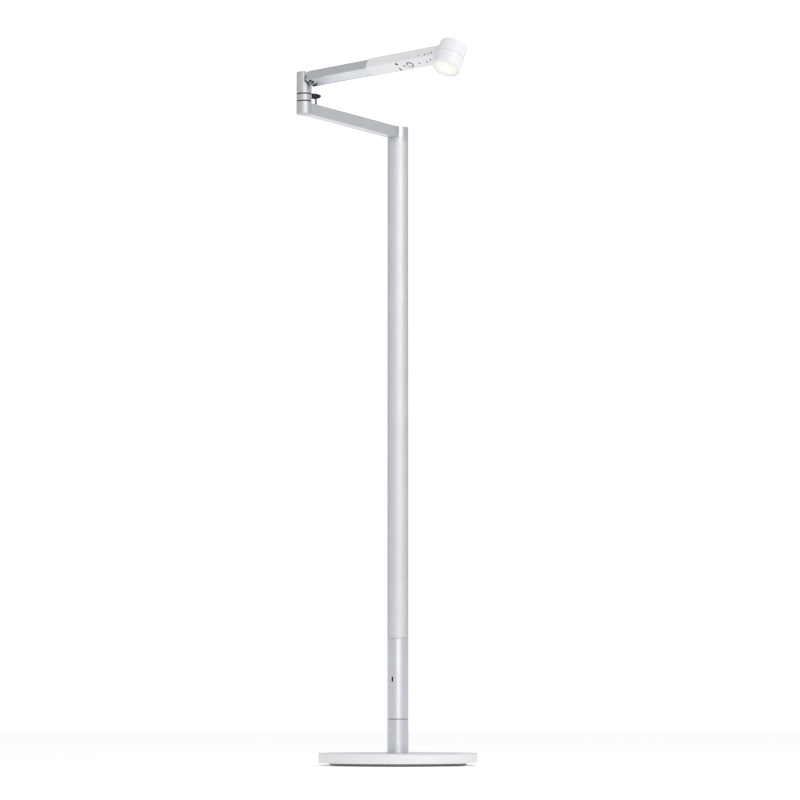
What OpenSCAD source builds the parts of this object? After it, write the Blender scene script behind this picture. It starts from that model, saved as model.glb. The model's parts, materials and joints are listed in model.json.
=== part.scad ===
// Adjustable arm floor lamp.
// A weighted round base carries a tall column that turns on it. A short lower arm is fixed
// to the top of the column and ends in an elbow. The upper arm swings round on the elbow and
// also rolls about its own length, which aims the drum-shaped light head at its far end.
// Origin: the floor, on the column's axis. +Z up, the column's axis along Z, +Y to the rear.

/* [Base] */
// Diameter of the base cover
base_d = 298; // [260:1:360]
// Height of the base cover
base_h = 18; // [16:1:30]
// Diameter of the foot under the cover
foot_d = 258; // [220:1:270]
// Height of the foot, which lifts the cover off the floor
foot_h = 5; // [4:0.5:8]
// Height of the seam where the column turns on the base
seam_z = 86; // [80:1:140]

/* [Column] */
// Outside diameter of the column
column_d = 40; // [38:1:48]
// Height where the plain tube meets the perforated tube
plain_top = 236; // [200:1:320]
// Height of the top of the perforated tube
column_top = 1190.5; // [900:0.5:1300]
// Height of the middle of the charging socket
socket_z = 161; // [140:1:170]
// Heading of the charging socket about the column
socket_heading = 239; // [180:1:360]

/* [Lower arm] */
// Distance from the column's axis to the elbow's axis
lower_len = 300; // [200:1:400]
// Heading of the lower arm at rest
lower_heading = 235; // [180:1:270]
// Width of the lower arm
lower_w = 20; // [18:0.5:24]
// Height of the lower arm
lower_h = 21.5; // [20:0.5:22]

/* [Upper arm] */
// Distance from the elbow's axis to the head's axis
upper_len = 359; // [320:1:420]
// Heading of the upper arm at rest
upper_heading = -42; // [-90:1:0]
// Roll of the upper arm about its own length at rest
arm_roll = 26.5; // [0:0.5:60]
// Width of the rear shell
rear_w = 23.5; // [22:0.5:26]
// Height of the rear shell
rear_h = 20; // [20:0.5:22]
// Width of the front shell
front_w = 27.5; // [26:0.5:32]
// Height of the front shell
front_h = 21; // [21:0.5:24]
// Distance from the elbow's axis to the seam between the two shells
shell_seam = 168; // [150:1:190]

/* [Head] */
// Diameter of the drum
head_d = 50.5; // [46:0.5:56]
// Height of the drum
head_h = 49.6; // [46:0.1:52]

/* [Hidden] */
$fn = 96;
FOOT_PIECES = ["foot_pad", "base_plate", "base_weight", "base_cover", "base_screws"];
BASE_PIECES = ["power_inlet", "driver_board", "base_collar", "collar_nut", "swivel_bushes", "swivel_washer"];
COLUMN_PIECES = ["column_spindle", "spindle_clip", "lower_tube", "usb_socket", "usb_board", "tube_coupler"];
LIGHT_PIECES = ["perforated_tube", "light_pipe", "pipe_light_board", "stem_hub"];
LOWER_ARM_PIECES = ["lower_arm_beam", "lower_arm_cover", "elbow_base", "cable_boot", "link_cable"];
STACK_PIECES = ["elbow_pin", "elbow_washer_lower", "elbow_collar", "elbow_washer_upper"];
ELBOW_PIECES = ["elbow_housing", "elbow_bush", "elbow_cap", "pivot_plate"];
ROLL_PIECES = ["roll_spindle", "roll_neck", "spindle_nut", "roll_bushes", "arm_root_block", "root_plug"];
SHELL_PIECES = ["rear_arm_shell", "rear_arm_underside", "arm_joiner", "front_arm_shell", "heat_pipe"];
CONTROL_PIECES = ["control_panel", "control_board", "button_ring", "light_sensor", "motion_sensor"];
SMALL_PIECES = ["indicator_dots", "power_button"];
HEAD_PIECES = ["head_cap", "head_body", "heat_sink", "led_board"];
LENS_PIECES = ["led_chips", "reflector", "lens", "lens_bezel"];

eps = 0.5;                              // how far a cutter runs past the face it cuts
run_gap = 0.05;                         // radial clearance of a bush on its shaft
face_gap = 0.2;                         // gap between faces that slide past each other

// Base
pad_h = 1.6;
cover_top = foot_h + base_h;
cover_wall = 2.4;
cover_skin = 2.2;
cover_edge = 1.6;
weight_r = base_d / 2 - cover_wall - 0.6;
weight_top = cover_top - cover_skin;
screw_ring_r = foot_d / 2 - 22;
screw_count = 6;
collar_r = column_d / 2;
spigot_r = collar_r - 2;
nut_r = 29;
nut_h = 5;
inlet_z = foot_h + 8.2;
inlet_nose_r = 4.5;

// Swivel between the base and the column
spindle_r = 12;
spindle_bore_r = 7;
bush_r = 16;
bush_len = 16;
clip_z = cover_top + 2.4;
clip_h = 1.6;
washer_h = 0.8;
column_start = seam_z + washer_h + face_gap;
column_r = column_d / 2;
plain_bore_r = column_r - 2;
screen_bore_r = column_r - 1.5;
coupler_half = 28;
pipe_r = 15.5;
pipe_start = plain_top + coupler_half - 8;
hub_spigot_z = column_top - 18;
pipe_end = hub_spigot_z + 2;
pipe_board_h = 1.6;

// Lower arm, in a frame whose x runs along it from the column's axis
lower_bottom = column_top;
lower_top = lower_bottom + lower_h;
lower_wall = 2;
hub_flat = 15.5;                        // distance of the hub's flat from the column's axis
cable_z = lower_bottom + 10.5;
cable_r = 2;
cable_drop = 36.5;                      // distance of the cable's upright part from the elbow
cable_bend = 6;

// Elbow
elbow_x = lower_len * cos(lower_heading);
elbow_y = lower_len * sin(lower_heading);
elbow_r = 14;
pin_r = 7;
pin_foot = lower_bottom + 5.5;
stack_z0 = lower_bottom + 22.2;         // bottom of the lower washer
stack_z1 = stack_z0 + 2;                // bottom of the collar
stack_z2 = stack_z1 + 11.5;             // bottom of the upper washer
stack_z3 = stack_z2 + 1.8;              // top of the upper washer
housing_z = stack_z3 + face_gap;
arm_axis_z = lower_bottom + 63.5;       // height of the upper arm's axis
shoulder_z = arm_axis_z - 6;            // the housing is fully round below this height
housing_top = arm_axis_z + 12.5;
elbow_cap_h = 1.5;
elbow_flat = 9.8;                       // distance of the flat from the elbow's axis
plate_t = 2;
plate_w = 17;
plate_slit = 0.9;                       // shadow gap each side of the pivot plate
elbow_bush_r = 10;
bush_top = shoulder_z - 4.4;

// Roll joint, in a frame whose x runs along the upper arm from the elbow's axis
roll_r = 5.5;
neck_r = 7.8;
neck_end = 17.2;
root_start = 17.5;
shell_start = 19.4;
roll_bush_r = 8;
roll_bush_len = 9.2;
root_end = 45;
plug_t = 24.6;
plug_s = -2.5;
rib_r = 9.2;
rib_t = 2.6;
rib_h = 2.4;
rib_from = 45;
rib_to = 112;

// Upper arm shells
shell_wall = 1.6;
plate_h = 1.8;
rear_in = rear_w / 2 - shell_wall;
rear_bottom = -rear_h / 2;
rear_ceiling = rear_h / 2 - shell_wall;
front_in = front_w / 2 - shell_wall;
front_bottom = -front_h / 2;
front_ceiling = front_h / 2 - shell_wall;
heat_pipe_r = 3;
heat_pipe_z = 4;

// Controls, as distances along and across the underside of the front shell
button_t = 265;
button_s = 0.5;
button_r = 5;
button_hole_r = button_r + 0.3;
button_flange_z = front_bottom + 2;
board_z = front_bottom + 4.9;
light_window = [238.5, -7];
light_window_r = 3;
motion_window = [236, 8];
motion_window_size = [3, 7];
underside_dots = [[251, 1.2, 1.9], [286.5, 1.6, 1.5], [304, 1.8, 1.6], [315, -2, 1.6]];
side_dots = [[293.5, -6.4, 1.1], [309, -6.4, 1.4], [317, -6.2, 1.3], [324, -4.2, 1.5]];
dot_proud = 0.2;

// Head, in a frame at the middle of the drum
head_r = head_d / 2;
head_half = head_h / 2;
head_wall = 2.2;
head_bore_r = head_r - head_wall;
head_groove = 0.9;
lens_r = head_bore_r - 2.2;
lens_top = 3.2 - head_half;
head_z = -front_h / 2;                  // the drum's middle lies level with the arm's underside
pipe_in_head = heat_pipe_z - head_z;

// ---------- shapes that repeat ----------
module disc(r, z0, z1) {
    translate([0, 0, z0]) cylinder(r = r, h = z1 - z0);
}

module ring(r_out, r_in, z0, z1) {
    difference() {
        disc(r_out, z0, z1);
        disc(r_in, z0 - eps, z1 + eps);
    }
}

// A box given by its lowest and highest corners.
module block(low, high) {
    translate(low) cube(high - low);
}

// A rod along x.
module rod(r, x0, x1) {
    translate([x0, 0, 0]) rotate([0, 90, 0]) cylinder(r = r, h = x1 - x0);
}

// A rectangle with round corners, from two squares and four circles.
module soft_rect(w, h, r) {
    square([w - 2 * r, h], center = true);
    square([w, h - 2 * r], center = true);
    for (sx = [-1, 1], sy = [-1, 1])
        translate([sx * (w / 2 - r), sy * (h / 2 - r)]) circle(r = r, $fn = 32);
}

// A slot with round ends, long in y.
module stadium(w, h) {
    square([w, h - w], center = true);
    for (s = [-1, 1]) translate([0, s * (h - w) / 2]) circle(d = w, $fn = 32);
}

// A section in y and z, carried along x.
module along_x(x0, x1) {
    translate([x0, 0, 0]) rotate([90, 0, 90]) linear_extrude(x1 - x0) children();
}

module on_lower_arm() {
    rotate([0, 0, lower_heading]) children();
}

module at_elbow() {
    translate([elbow_x, elbow_y, 0]) children();
}

// x points back along the lower arm, from the elbow's axis to the column.
module back_from_elbow() {
    at_elbow() rotate([0, 0, lower_heading - 180]) children();
}

module on_elbow() {
    at_elbow() rotate([0, 0, upper_heading]) children();
}

module on_upper_arm() {
    on_elbow() translate([0, 0, arm_axis_z]) rotate([-arm_roll, 0, 0]) children();
}

module at_head() {
    on_upper_arm() translate([upper_len, 0, head_z]) children();
}

// ---------- base ----------
module foot_pad() {
    color("dimgray") disc(foot_d / 2 - 3, 0, pad_h);
}

module screw_places() {
    for (i = [0 : screw_count - 1])
        rotate([0, 0, (i + 0.5) * 360 / screw_count]) translate([screw_ring_r, 0, 0]) children();
}

module base_plate() {
    color("gray") difference() {
        disc(foot_d / 2, pad_h, foot_h);
        screw_places() disc(2.8, 0, foot_h + eps);
        screw_places() disc(5.2, 0, pad_h + 2.2);
    }
}

module base_screws() {
    color("silver") screw_places() difference() {
        union() {
            disc(4.6, pad_h + 0.2, pad_h + 2.2);
            disc(2.5, pad_h + 2.2, foot_h + 9);
        }
        translate([0, 0, pad_h]) cylinder(r = 1.6, h = 1.3, $fn = 6);
    }
}

module base_weight() {
    color("darkslategray") difference() {
        disc(weight_r, foot_h, weight_top);
        disc(spigot_r, foot_h - eps, weight_top + eps);
        disc(nut_r, foot_h - eps, foot_h + nut_h);
        screw_places() disc(2.5, foot_h - eps, foot_h + 10);
        block([-96, -21, foot_h - eps], [-34, 21, weight_top - 4]);
        block([-40, -4, foot_h - eps], [-nut_r + 1, 4, foot_h + nut_h]);
        block([-4, nut_r - 1, foot_h - eps], [4, 123, foot_h + 6]);
        block([-6.5, 122, foot_h - eps], [6.5, base_d / 2, inlet_z + 5]);
    }
}

// The cover's half section: a top skin and a side wall with a round upper edge.
module cover_section() {
    difference() {
        union() {
            square([base_d / 2 - cover_edge, base_h]);
            square([base_d / 2, base_h - cover_edge]);
            translate([base_d / 2 - cover_edge, base_h - cover_edge]) circle(r = cover_edge);
        }
        translate([0, -eps]) square([base_d / 2 - cover_wall, base_h - cover_skin + eps]);
        translate([0, -eps]) square([spigot_r, base_h + 2 * eps]);
    }
}

module base_cover() {
    color("whitesmoke") difference() {
        translate([0, 0, foot_h]) rotate_extrude() cover_section();
        translate([0, base_d / 2 - 6, inlet_z]) rotate([-90, 0, 0]) cylinder(r = inlet_nose_r, h = 10);
    }
}

module power_inlet() {
    nose_start = base_d / 2 - cover_wall - 1;
    color("black") difference() {
        union() {
            block([-6, 124, foot_h], [6, nose_start, inlet_z + 4.8]);
            translate([0, nose_start - 1, inlet_z]) rotate([-90, 0, 0])
                cylinder(r = inlet_nose_r - 0.1, h = cover_wall + 1.6);
        }
        translate([0, base_d / 2 - 12, inlet_z]) rotate([-90, 0, 0]) difference() {
            cylinder(r = 3.1, h = 14);
            cylinder(r = 1, h = 10);
        }
    }
}

module driver_board() {
    color("darkgreen") union() {
        block([-93, -18, foot_h], [-37, 18, foot_h + 1.6]);
        block([-90, -14, foot_h + 1.6], [-74, 4, foot_h + 9.5]);
        translate([-62, -8, 0]) disc(4, foot_h + 1.6, foot_h + 9);
        translate([-62, 6, 0]) disc(4, foot_h + 1.6, foot_h + 9);
        block([-52, -10, foot_h + 1.6], [-42, 10, foot_h + 4]);
    }
}

module base_collar() {
    color("silver") difference() {
        union() {
            disc(spigot_r, foot_h, cover_top);
            disc(collar_r, cover_top, seam_z);
        }
        disc(spindle_r + 1.5, foot_h - eps, clip_z);
        disc(bush_r, clip_z - 0.6, seam_z + eps);
    }
}

module collar_nut() {
    color("gray") difference() {
        ring(nut_r - 0.5, spigot_r, foot_h, foot_h + nut_h);
        for (a = [0 : 90 : 270]) rotate([0, 0, a]) translate([nut_r - 4, 0, 0])
            disc(1.5, foot_h - eps, foot_h + 3);
    }
}

module swivel_bushes() {
    color("ivory") union() {
        ring(bush_r, spindle_r + run_gap, clip_z + clip_h + face_gap, clip_z + clip_h + face_gap + bush_len);
        ring(bush_r, spindle_r + run_gap, seam_z - bush_len, seam_z);
    }
}

module swivel_washer() {
    color("black") ring(collar_r - 0.6, spindle_r + 1, seam_z, seam_z + washer_h);
}

// ---------- column ----------
module column_spindle() {
    color("lightsteelblue") difference() {
        union() {
            disc(spindle_r, clip_z - 1, column_start);
            disc(plain_bore_r, column_start, column_start + 22);
        }
        disc(spindle_bore_r, clip_z - 2, column_start + 22 + eps);
        ring(spindle_r + 1, spindle_r - 1.5, clip_z, clip_z + clip_h);
    }
}

module spindle_clip() {
    color("dimgray") ring(bush_r - 0.5, spindle_r - 1.5, clip_z, clip_z + clip_h);
}

// The charging socket's frame: x points out of the column at the socket.
module at_socket() {
    rotate([0, 0, socket_heading]) translate([0, 0, socket_z]) children();
}

module lower_tube() {
    color("silver") difference() {
        ring(column_r, plain_bore_r, column_start, plain_top);
        at_socket() along_x(column_r - 6, column_r + 2) stadium(3.4, 9.4);
    }
}

module usb_socket() {
    color("dimgray") at_socket() union() {
        difference() {
            along_x(12, column_r - 0.2) stadium(3.2, 9.2);
            along_x(13, column_r) stadium(2.5, 8.5);
        }
        block([13, -0.35, -3], [column_r - 1.4, 0.35, 3]);
    }
}

module usb_board() {
    color("darkgreen") at_socket() union() {
        block([10.4, -8, -13], [12, 8, 13]);
        block([8.4, -5, -10], [10.4, 5, -2]);
    }
}

module tube_coupler() {
    color("gray") difference() {
        union() {
            disc(plain_bore_r, plain_top - coupler_half, plain_top);
            disc(screen_bore_r, plain_top, plain_top + coupler_half);
        }
        disc(pipe_r - 2, plain_top - coupler_half - eps, pipe_start + eps);
        disc(pipe_r, pipe_start, plain_top + coupler_half + eps);
    }
}

module perforated_tube() {
    color("lightgray") ring(column_r, screen_bore_r, plain_top, column_top);
}

module light_pipe() {
    color("white") ring(pipe_r, pipe_r - 2, pipe_start, pipe_end);
}

module pipe_light_board() {
    color("gold") union() {
        disc(pipe_r, pipe_end, pipe_end + pipe_board_h);
        for (a = [0 : 60 : 300]) rotate([0, 0, a]) translate([8, 0, 0])
            disc(1.6, pipe_end - 0.8, pipe_end);
    }
}

module stem_hub() {
    color("silver") difference() {
        union() {
            disc(screen_bore_r, hub_spigot_z, column_top);
            difference() {
                disc(column_r, column_top, lower_top);
                on_lower_arm() block([hub_flat, -30, column_top - eps], [30, 30, lower_top + eps]);
            }
            on_lower_arm() block([0, lower_wall - lower_w / 2, lower_bottom + lower_wall],
                [hub_flat + 22, lower_w / 2 - lower_wall, lower_top - lower_wall]);
        }
        disc(pipe_r, hub_spigot_z - eps, pipe_end + pipe_board_h);
        disc(5, hub_spigot_z, cable_z + 3);
        on_lower_arm() translate([0, 0, cable_z]) rod(3, 0, hub_flat + 23);
    }
}

// ---------- lower arm ----------
module lower_arm_beam() {
    mid_z = lower_bottom + lower_h / 2;
    side = lower_w / 2 - lower_wall;
    color("silver") on_lower_arm() difference() {
        translate([0, 0, mid_z]) along_x(hub_flat, lower_len) soft_rect(lower_w, lower_h, 1.2);
        block([hub_flat - 1, -side, lower_bottom - 1], [lower_len, side, lower_top - lower_wall]);
        translate([lower_len, 0, 0]) disc(elbow_r, lower_bottom - 1, lower_top + 1);
        translate([lower_len - cable_drop, 0, 0]) disc(cable_r + 0.4, lower_top - 4, lower_top + 1);
    }
}

module lower_arm_cover() {
    side = lower_w / 2 - lower_wall;
    color("silver") on_lower_arm() difference() {
        block([hub_flat, -side, lower_bottom], [lower_len, side, lower_bottom + lower_wall]);
        translate([lower_len, 0, 0]) disc(elbow_r, lower_bottom - 1, lower_top);
    }
}

module elbow_base() {
    side = lower_w / 2 - lower_wall;
    color("silver") back_from_elbow() difference() {
        union() {
            disc(elbow_r, lower_bottom, stack_z0);
            block([0, -side, lower_bottom + lower_wall], [elbow_r + 14, side, lower_top - lower_wall]);
        }
        disc(pin_r, pin_foot, stack_z0 + eps);
        translate([0, 0, cable_z]) rod(3, 0, elbow_r + 15);
    }
}

// The boot's side view: a root on the collar, a rising back and a rounded tip.
module boot_side() {
    polygon([[elbow_r - 0.2, stack_z2 - 5], [elbow_r - 0.2, stack_z3], [elbow_r + 1, stack_z3 + 2.5],
        [elbow_r + 10, stack_z3 + 5.2], [elbow_r + 24, stack_z3 + 6.2], [elbow_r + 32, stack_z3 + 5.4],
        [elbow_r + 35, stack_z3 + 3.6], [elbow_r + 32, stack_z3 + 0.6], [elbow_r + 26, stack_z2 - 0.8],
        [elbow_r + 14, stack_z2 - 2.6]]);
}

module cable_boot() {
    half = 4.5;
    color("black") back_from_elbow() difference() {
        intersection() {
            translate([0, half, 0]) rotate([90, 0, 0]) linear_extrude(2 * half) boot_side();
            union() {
                block([0, -half, lower_top], [elbow_r + 27, half, shoulder_z]);
                translate([elbow_r + 27, 0, 0]) scale([1.8, 1, 1]) disc(half, lower_top, shoulder_z);
            }
        }
        disc(elbow_r, stack_z1, stack_z3 + eps);
        disc(elbow_r + 2 * face_gap, stack_z3, shoulder_z);
        translate([cable_drop, 0, 0]) disc(cable_r, lower_top, stack_z2 + 1);
    }
}

// The cable rises from the lower arm into the boot, after a run along the arm's inside.
module link_cable() {
    bend_x = lower_len - cable_drop;
    color("gray") on_lower_arm() union() {
        translate([0, 0, cable_z]) rod(cable_r, 8, bend_x - cable_bend);
        translate([bend_x - cable_bend, 0, cable_z + cable_bend]) rotate([90, 0, 0])
            rotate([0, 0, -90]) rotate_extrude(angle = 90)
                translate([cable_bend, 0]) circle(r = cable_r, $fn = 32);
        translate([bend_x, 0, 0]) disc(cable_r, cable_z + cable_bend, stack_z2 + 1);
    }
}

// ---------- elbow stack, fixed to the lower arm ----------
module elbow_pin() {
    color("lightsteelblue") at_elbow() difference() {
        union() {
            disc(pin_r, pin_foot, bush_top + face_gap);
            disc(pin_r + 2.5, bush_top + face_gap, bush_top + 2.8);
        }
        disc(4, pin_foot - eps, bush_top + 3);
    }
}

module elbow_washer_lower() {
    color("black") at_elbow() ring(elbow_r - 0.3, pin_r, stack_z0, stack_z1);
}

module elbow_collar() {
    color("silver") at_elbow() ring(elbow_r, pin_r, stack_z1, stack_z2);
}

module elbow_washer_upper() {
    color("black") at_elbow() ring(elbow_r - 0.3, pin_r, stack_z2, stack_z3);
}

// ---------- elbow, which turns on the pin ----------
module elbow_housing() {
    color("silver") on_elbow() difference() {
        disc(elbow_r, housing_z, housing_top);
        block([elbow_flat, -20, shoulder_z], [20, 20, housing_top + eps]);
        block([elbow_flat - plate_t, -plate_w / 2 - plate_slit, shoulder_z],
            [20, plate_w / 2 + plate_slit, housing_top + eps]);
        disc(elbow_bush_r, housing_z - eps, shoulder_z - 1);
        translate([0, 0, arm_axis_z]) rod(roll_r, -8, 20);
        translate([0, 0, arm_axis_z]) rod(neck_r + face_gap, elbow_flat, 20);
        translate([-2, 0, 0]) disc(2.5, shoulder_z - 2, shoulder_z + 3);
    }
}

module elbow_bush() {
    color("ivory") on_elbow() ring(elbow_bush_r, pin_r + run_gap, housing_z, bush_top);
}

module elbow_cap() {
    color("silver") on_elbow() difference() {
        disc(elbow_r, housing_top, housing_top + elbow_cap_h);
        block([elbow_flat, -20, housing_top - eps], [20, 20, housing_top + 3]);
    }
}

module pivot_plate() {
    color("whitesmoke") on_elbow() difference() {
        block([elbow_flat - plate_t, -plate_w / 2, shoulder_z], [elbow_flat, plate_w / 2, housing_top]);
        translate([0, 0, arm_axis_z]) rod(roll_r, 0, 20);
    }
}

module roll_spindle() {
    color("lightsteelblue") on_upper_arm() difference() {
        rod(roll_r, -8, root_end + 6);
        rod(3, -9, root_end + 7);
        translate([-2, 0, 0]) rotate([arm_roll, 0, 0]) disc(2.5, -7, -2);
    }
}

module roll_neck() {
    color("black") on_upper_arm() difference() {
        rod(neck_r, elbow_flat, neck_end);
        rod(roll_r, elbow_flat - 1, neck_end + 1);
    }
}

module spindle_nut() {
    color("gray") on_upper_arm() difference() {
        rod(roll_bush_r - 0.2, root_end + 0.4, root_end + 5);
        rod(roll_r, root_end, root_end + 6);
    }
}

// ---------- upper arm, which rolls on the spindle ----------
module roll_bushes() {
    color("ivory") on_upper_arm() difference() {
        union() {
            rod(roll_bush_r, root_start, root_start + roll_bush_len);
            rod(roll_bush_r, root_end - roll_bush_len, root_end);
        }
        rod(roll_r + run_gap, root_start - 1, root_end + 1);
    }
}

module arm_root_block() {
    color("black") on_upper_arm() difference() {
        union() {
            along_x(root_start, shell_start) soft_rect(rear_w + 0.4, rear_h + 0.4, 1.8);
            block([shell_start, -rear_in, rear_bottom + plate_h], [root_end, rear_in, rear_ceiling]);
        }
        rod(roll_bush_r, root_start - 1, root_end + 1);
    }
}

// The plug over the root's screw, and the curved rib that stops the roll.
module root_plug() {
    color("black") on_upper_arm() translate([plug_t, plug_s, 0]) union() {
        translate([0, 0, rear_bottom - rib_h]) rotate([0, 0, rib_from])
            rotate_extrude(angle = rib_to - rib_from) translate([rib_r, 0]) square([rib_t, rib_h]);
        disc(3, rear_bottom, rear_bottom + plate_h);
        disc(4.2, rear_bottom - 1.4, rear_bottom);
        disc(5, rear_bottom - 0.6, rear_bottom);
    }
}

module rear_arm_shell() {
    color("silver") on_upper_arm() difference() {
        along_x(shell_start, shell_seam) soft_rect(rear_w, rear_h, 1.4);
        block([shell_start - 1, -rear_in, rear_bottom - 1], [shell_seam + 1, rear_in, rear_ceiling]);
    }
}

module rear_arm_underside() {
    color("lightgray") on_upper_arm() difference() {
        block([shell_start, -rear_in, rear_bottom], [shell_seam, rear_in, rear_bottom + plate_h]);
        translate([plug_t, plug_s, 0]) disc(3, rear_bottom - 1, rear_bottom + 3);
    }
}

module arm_joiner() {
    color("gray") on_upper_arm() difference() {
        union() {
            block([shell_seam - 18, -rear_in, rear_bottom + plate_h], [shell_seam, rear_in, rear_ceiling]);
            block([shell_seam, -front_in, front_bottom + plate_h], [shell_seam + 18, front_in, front_ceiling]);
        }
        translate([0, 0, heat_pipe_z]) rod(heat_pipe_r, shell_seam - 20, shell_seam + 20);
        translate([0, 0, -4]) rod(2.5, shell_seam - 20, shell_seam + 20);
    }
}

// The drum's outer wall, as a cutter for the arm's end.
module drum_cutter() {
    translate([upper_len, 0, 0]) disc(head_r, -30, 30);
}

// Round marks in the side of the front shell, proud of its face and as deep as asked.
module side_marks(proud, depth) {
    for (d = side_dots) translate([d[0], -front_w / 2 - proud, d[1]])
        rotate([-90, 0, 0]) cylinder(r = d[2], h = depth + proud);
}

module front_arm_shell() {
    color("white") on_upper_arm() difference() {
        along_x(shell_seam, upper_len) soft_rect(front_w, front_h, 1.4);
        block([shell_seam - 1, -front_in, front_bottom - 1], [upper_len, front_in, front_ceiling]);
        drum_cutter();
        side_marks(1, 3);
    }
}

module heat_pipe() {
    color("peru") on_upper_arm() translate([0, 0, heat_pipe_z]) rod(heat_pipe_r, 60, upper_len + 14);
}

module motion_slot(z0, z1) {
    translate([motion_window[0], motion_window[1], z0]) linear_extrude(z1 - z0)
        stadium(motion_window_size[0], motion_window_size[1]);
}

module control_panel() {
    color("white") on_upper_arm() difference() {
        block([shell_seam, -front_in, front_bottom], [upper_len, front_in, front_bottom + plate_h]);
        drum_cutter();
        translate([button_t, button_s, 0]) disc(button_hole_r, front_bottom - 1, 0);
        translate([light_window[0], light_window[1], 0]) disc(light_window_r, front_bottom - 1, 0);
        motion_slot(front_bottom - 1, 0);
        for (d = underside_dots) translate([d[0], d[1], 0]) disc(d[2], front_bottom - 1, 0);
    }
}

module control_board() {
    color("darkgreen") on_upper_arm() union() {
        block([228, -9, board_z], [322, 9, board_z + 1.6]);
        block([276, -5, board_z + 1.6], [286, 5, board_z + 2.8]);
        block([296, -7, board_z + 1.6], [302, 2, board_z + 2.8]);
        translate([button_t, button_s, 0]) disc(3, board_z - 1.3, board_z);
    }
}

module button_ring() {
    color("gray") on_upper_arm() translate([button_t, button_s, 0])
        ring(button_r + 2, button_hole_r, front_bottom - 0.6, front_bottom);
}

module light_sensor() {
    color("black") on_upper_arm() translate([light_window[0], light_window[1], 0])
        disc(light_window_r, front_bottom - 0.4, front_bottom + plate_h);
}

module motion_sensor() {
    color("black") on_upper_arm() motion_slot(front_bottom - 0.4, front_bottom + plate_h);
}

module indicator_dots() {
    color("dimgray") on_upper_arm() union() {
        for (d = underside_dots) translate([d[0], d[1], 0])
            disc(d[2], front_bottom - dot_proud, front_bottom + plate_h);
        side_marks(dot_proud, shell_wall);
    }
}

// ---------- the button, which slides up into the arm ----------
module power_button() {
    color("whitesmoke") on_upper_arm() translate([button_t, button_s, 0]) union() {
        disc(button_r, front_bottom - 0.9, button_flange_z);
        disc(button_r + 1.2, button_flange_z, button_flange_z + 0.7);
    }
}

// ---------- head ----------
module head_cap() {
    color("white") at_head() difference() {
        union() {
            disc(head_r - 1.6, 0, head_half);
            disc(head_r, 0, head_half - 1.6);
            translate([0, 0, head_half - 1.6]) rotate_extrude() translate([head_r - 1.6, 0]) circle(r = 1.6);
        }
        disc(head_bore_r, -1, head_half - 2);
        block([-head_r - 1, -8, 5], [-head_r + 8, 8, 19]);
    }
}

module head_body() {
    color("white") at_head() difference() {
        union() {
            disc(head_r, -head_half, -head_groove);
            disc(head_r - 0.9, -head_half, 0);
        }
        disc(head_bore_r, -head_half - 1, 1);
    }
}

module heat_sink() {
    fin_t = 1.2;
    fin_top = 19.5;
    color("silver") at_head() difference() {
        union() {
            disc(head_bore_r, -3, 1);
            block([-17, -5, 1], [17, 5, fin_top]);
            intersection() {
                disc(head_bore_r - 0.6, 0, fin_top);
                for (i = [0 : 3], side = [-1, 1]) translate([0, side * (7.4 + 3.6 * i), 0])
                    block([-head_r, -fin_t / 2, 0], [head_r, fin_t / 2, fin_top]);
            }
        }
        translate([0, 0, pipe_in_head]) rod(heat_pipe_r, -20, 14);
    }
}

module led_board() {
    color("gold") at_head() disc(20, -4.6, -3);
}

module led_chips() {
    color("lemonchiffon") at_head() for (i = [0 : 7])
        rotate([0, 0, 45 * i]) translate([6.5, 0, 0]) block([-1.5, -1.5, -5.4], [1.5, 1.5, -4.6]);
}

module reflector() {
    color("whitesmoke") at_head() rotate_extrude()
        polygon([[9, -5.6], [12, -5.6], [head_bore_r - 1, lens_top], [lens_r - 0.6, lens_top]]);
}

module lens() {
    color("lemonchiffon") at_head() union() {
        disc(lens_r, 0.8 - head_half, lens_top);
        disc(lens_r - 2.1, 0.3 - head_half, 0.8 - head_half);
    }
}

module lens_bezel() {
    color("lightgray") at_head() ring(head_bore_r, lens_r, -head_half, lens_top);
}

// ---------- what is drawn ----------
foot_pad();
base_plate();
base_weight();
base_cover();
base_screws();
power_inlet();
driver_board();
base_collar();
collar_nut();
swivel_bushes();
swivel_washer();
column_spindle();
spindle_clip();
lower_tube();
usb_socket();
usb_board();
tube_coupler();
perforated_tube();
light_pipe();
pipe_light_board();
stem_hub();
lower_arm_beam();
lower_arm_cover();
elbow_base();
cable_boot();
link_cable();
elbow_pin();
elbow_washer_lower();
elbow_collar();
elbow_washer_upper();
elbow_housing();
elbow_bush();
elbow_cap();
pivot_plate();
roll_spindle();
roll_neck();
spindle_nut();
roll_bushes();
arm_root_block();
root_plug();
rear_arm_shell();
rear_arm_underside();
arm_joiner();
front_arm_shell();
heat_pipe();
control_panel();
control_board();
button_ring();
light_sensor();
motion_sensor();
indicator_dots();
power_button();
head_cap();
head_body();
heat_sink();
led_board();
led_chips();
reflector();
lens();
lens_bezel();
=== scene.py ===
# %% [markdown]
# # An adjustable arm floor lamp
# A heavy round base, a tall perforated column, a short fixed arm, an elbow, and a long
# arm that swings and rolls to aim a small drum of light. The mechanism, with its true
# sizes and joints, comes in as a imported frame. This lesson dresses that frame: every
# visible part is built as a fine surface, and every finish is a procedural material.

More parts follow.
